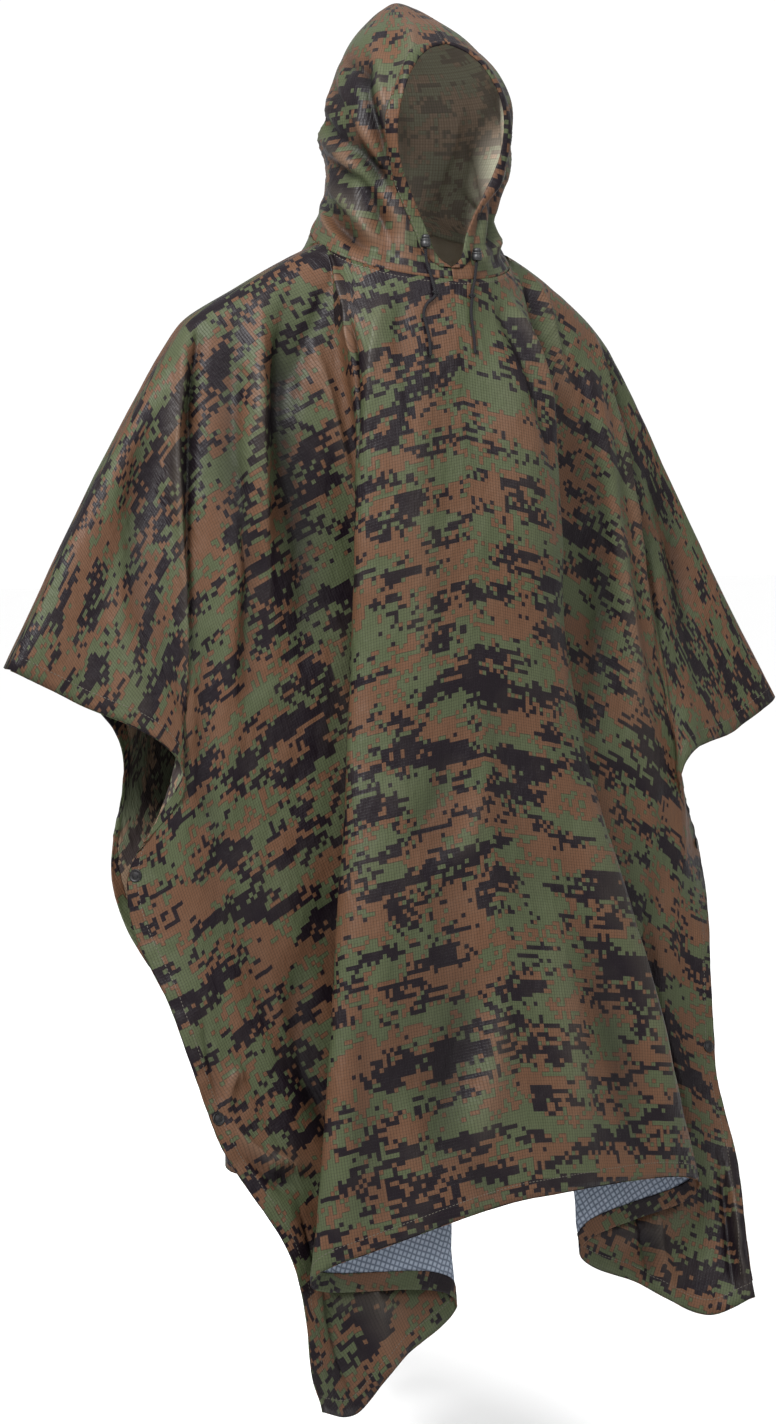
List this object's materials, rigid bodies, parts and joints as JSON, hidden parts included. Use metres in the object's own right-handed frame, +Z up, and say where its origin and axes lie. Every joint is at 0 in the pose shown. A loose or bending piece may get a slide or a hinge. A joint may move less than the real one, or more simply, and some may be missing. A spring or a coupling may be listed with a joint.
{
  "type": "hooded rain poncho",
  "caption": "Hooded rain poncho in pixel camouflage rip-stop cloth, filled out as worn, with a drawcord hood, open sleeves and long hanging corners.",
  "frame": {"origin": "in the neck opening, just below the middle of the neck seam, where the wearer's neck and shoulders hold the poncho", "axes": "+Z up, -Y in front of the wearer, +X to the wearer's left"},
  "size_m": [1.052, 0.4679, 1.5872],
  "materials": {
    "shell_cloth": "coated rip-stop nylon in pixel camouflage, satin outside, dull coating inside",
    "hem_cloth": "turned hem of the same printed rip-stop cloth",
    "drawcord": "black braided cord",
    "cord_lock": "moulded black plastic",
    "snap_metal": "blackened metal, worn bright at the rim"
  },
  "bodies": {
    "root": {"front_panel": "shell_cloth", "front_hem": "hem_cloth", "front_side_hem_right": "hem_cloth", "front_side_hem_left": "hem_cloth", "back_panel": "shell_cloth", "back_hem": "hem_cloth", "back_side_hem_right": "hem_cloth", "back_side_hem_left": "hem_cloth", "hood_right": "shell_cloth", "hood_casing_right": "hem_cloth", "cord_lock_right": "cord_lock", "cord_upper_right": "drawcord", "cord_knot_right": "drawcord", "cord_lower_right": "drawcord", "snap_upper_right": "snap_metal", "snap_lower_right": "snap_metal", "hood_left": "shell_cloth", "hood_casing_left": "hem_cloth", "cord_lock_left": "cord_lock", "cord_upper_left": "drawcord", "cord_knot_left": "drawcord", "cord_lower_left": "drawcord", "snap_upper_left": "snap_metal", "snap_lower_left": "snap_metal"}
  },
  "joints": []
}
